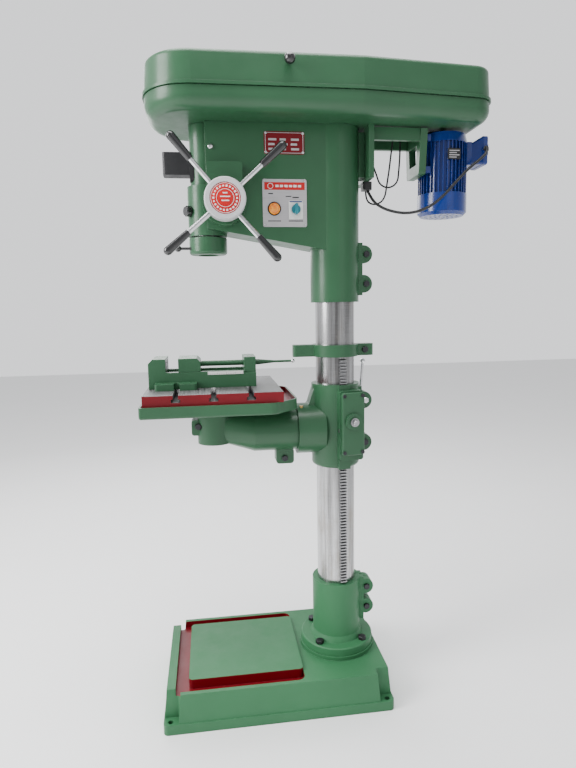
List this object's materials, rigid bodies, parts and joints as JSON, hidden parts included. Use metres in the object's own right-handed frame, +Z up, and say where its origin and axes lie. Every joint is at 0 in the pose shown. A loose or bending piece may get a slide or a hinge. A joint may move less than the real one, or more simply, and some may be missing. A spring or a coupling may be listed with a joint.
{
  "type": "drill press",
  "caption": "Floor-standing belt-drive drill press with ribbed base, round column and rack, cranked tilting table with vice, feed wheel, quill and covered pulleys.",
  "frame": {"origin": "column axis at the floor", "axes": "+Z up along the column, -Y towards the operator and the spindle, +X to the operator's right, the side with the feed wheel"},
  "size_m": [0.41, 1.013, 1.815],
  "materials": {
    "green_paint": "semi-gloss",
    "green_base": "semi-gloss, over rough casting",
    "red_paint": "semi-gloss",
    "blue_paint": "glossy",
    "black_paint": "satin",
    "ground_steel": "ground",
    "planed_iron": "planed",
    "steel": "machined",
    "blackened_steel": "oil-blackened",
    "chrome": "polished",
    "light_grey": "satin",
    "aluminium": "cast and turned",
    "plate": "printed",
    "black_plastic": "matt",
    "black_gloss": "polished",
    "turquoise": "satin",
    "orange": "translucent",
    "rubber": "matt",
    "spring_steel": "blued",
    "bronze": "turned"
  },
  "bodies": {
    "stand": {"base": "green_base", "column_foot": "green_base", "foot_bolts": "blackened_steel", "column": "ground_steel", "rack_ring": "green_paint", "clamp_bolts": "blackened_steel", "head_casting": "green_paint", "side_plates": "plate", "plate_rivets": "chrome", "lamp": "orange", "nose_block": "black_plastic", "belt_tray": "green_paint", "hinge_pins": "steel", "idler_post": "steel", "drive_bearings": "steel", "front_belt": "rubber", "rear_belt": "rubber", "feed_bush": "green_paint", "spring_cap": "green_paint", "return_spring": "spring_steel", "cable_gland": "black_plastic", "motor_cable": "rubber", "long_lead": "rubber", "short_lead": "rubber"},
    "rack_body": {"rack": "steel"},
    "bracket": {"table_bracket": "green_paint", "gearbox_cover": "green_paint", "bracket_bolts": "blackened_steel"},
    "lift_gear": {"lift_pinion": "steel"},
    "crank": {"worm_shaft": "steel"},
    "column_lock": {"lock_lever": "chrome"},
    "arm": {"tilt_arm": "green_paint", "arm_bolts": "blackened_steel"},
    "table": {"table_pan": "green_paint", "table_top": "planed_iron", "vice_body": "green_paint"},
    "vice_slide_body": {"vice_jaw": "green_paint"},
    "vice_screw_body": {"vice_screw": "green_paint"},
    "motor": {"motor_plate": "green_paint", "motor_frame": "blue_paint", "fan_cover": "blue_paint", "terminal_box": "blue_paint"},
    "rotor": {"motor_rotor": "steel", "motor_pulley": "aluminium"},
    "idler": {"idler_pulley": "aluminium"},
    "spindle_drive": {"spindle_pulley": "aluminium", "drive_sleeve": "steel"},
    "quill_body": {"quill": "ground_steel", "quill_bearings": "steel", "quill_collar": "green_paint"},
    "collar_screw": {"collar_knob": "black_gloss"},
    "spindle_body": {"spindle": "steel"},
    "feed": {"feed_shaft": "steel", "feed_hub": "light_grey", "feed_spokes": "chrome", "feed_grips": "black_gloss"},
    "quill_lock_body": {"quill_lock": "black_gloss"},
    "lid": {"belt_lid": "green_paint", "lid_knob": "black_gloss"},
    "selector": {"selector_knob": "turquoise"}
  },
  "joints": [
    {"name": "table_swing", "type": "hinge", "parent": "stand", "child": "rack_body", "pos_m": [0, 0, 0.7], "axis": [0, 0, 1], "range_deg": [-180, 180]},
    {"name": "table_lift", "type": "slide", "parent": "rack_body", "child": "bracket", "axis": [0, 0, 1], "range_m": [-0.35, 0.005]},
    {"name": "lift_pinion_turn", "type": "hinge", "parent": "bracket", "child": "lift_gear", "pos_m": [0.08269, 0.01162, 0.818], "axis": [-0.1392, 0.9903, 0], "range_deg": [-25, 1345]},
    {"name": "crank_turn", "type": "hinge", "parent": "bracket", "child": "crank", "pos_m": [0.09694, 0.02877, 0.848], "axis": [0.9903, 0.1392, 0], "range_deg": [-26800, 400]},
    {"name": "column_lock_turn", "type": "hinge", "parent": "bracket", "child": "column_lock", "pos_m": [0, 0.088, 0.896], "axis": [-1, 0, 0], "range_deg": [-10, 60]},
    {"name": "arm_tilt", "type": "hinge", "parent": "bracket", "child": "arm", "pos_m": [0, -0.16, 0.814], "axis": [0, 1, 0], "range_deg": [-45, 45]},
    {"name": "table_spin", "type": "hinge", "parent": "arm", "child": "table", "pos_m": [0, -0.366, 0.88], "axis": [0, 0, 1], "range_deg": [-180, 180]},
    {"name": "vice_slide", "type": "slide", "parent": "table", "child": "vice_slide_body", "axis": [0, 1, 0], "range_m": [-0.034, 0.05]},
    {"name": "vice_screw_turn", "type": "hinge", "parent": "vice_slide_body", "child": "vice_screw_body", "pos_m": [0, -0.3, 1.019], "axis": [0, 1, 0], "range_deg": [-3100, 4520]},
    {"name": "belt_tension", "type": "slide", "parent": "stand", "child": "motor", "axis": [0, -1, 0], "range_m": [0, 0.025], "deforming": ["rear_belt", "motor_cable"]},
    {"name": "motor_spin", "type": "hinge", "parent": "motor", "child": "rotor", "pos_m": [0, 0.327, 1.6], "axis": [0, 0, 1], "continuous": true},
    {"name": "idler_spin", "type": "hinge", "parent": "stand", "child": "idler", "pos_m": [0, -0.012, 1.7], "axis": [0, 0, 1], "continuous": true},
    {"name": "pulley_spin", "type": "hinge", "parent": "stand", "child": "spindle_drive", "pos_m": [0, -0.366, 1.7], "axis": [0, 0, 1], "continuous": true},
    {"name": "quill_feed", "type": "slide", "parent": "stand", "child": "quill_body", "axis": [0, 0, -1], "range_m": [0, 0.108], "stiffness_N_per_m": 600, "springref_m": -0.3},
    {"name": "feed_turn", "type": "hinge", "parent": "stand", "child": "feed", "pos_m": [0, -0.319, 1.46], "axis": [1, 0, 0], "range_deg": [-2, 416], "deforming": ["return_spring"]},
    {"name": "spindle_spin", "type": "hinge", "parent": "quill_body", "child": "spindle_body", "pos_m": [0, -0.366, 1.4], "axis": [0, 0, 1], "continuous": true},
    {"name": "collar_screw_turn", "type": "hinge", "parent": "quill_body", "child": "collar_screw", "pos_m": [0.022, -0.43, 1.345], "axis": [0, 1, 0], "range_deg": [0, 180]},
    {"name": "quill_lock_turn", "type": "hinge", "parent": "stand", "child": "quill_lock_body", "pos_m": [0.03, -0.41796, 1.445], "axis": [0.5, -0.866, 0], "range_deg": [0, 120]},
    {"name": "lid_open", "type": "hinge", "parent": "stand", "child": "lid", "pos_m": [-0.184, -0.17, 1.7285], "axis": [0, -1, 0], "range_deg": [0, 95]},
    {"name": "selector_turn", "type": "hinge", "parent": "stand", "child": "selector", "pos_m": [0.07, -0.122, 1.446], "axis": [1, 0, 0], "range_deg": [-60, 60]}
  ],
  "couplings": [
    {"joint": "lift_pinion_turn", "follows": "table_lift", "rad_per_m": -66.667},
    {"joint": "crank_turn", "follows": "table_lift", "rad_per_m": 1333.3},
    {"joint": "vice_screw_turn", "follows": "vice_slide", "rad_per_m": 1570.8},
    {"joint": "feed_turn", "follows": "quill_feed", "rad_per_m": 66.667},
    {"joint": "idler_spin", "follows": "motor_spin", "ratio": 0.79592},
    {"joint": "pulley_spin", "follows": "motor_spin", "ratio": 0.59314},
    {"joint": "spindle_spin", "follows": "motor_spin", "ratio": 0.59314}
  ]
}
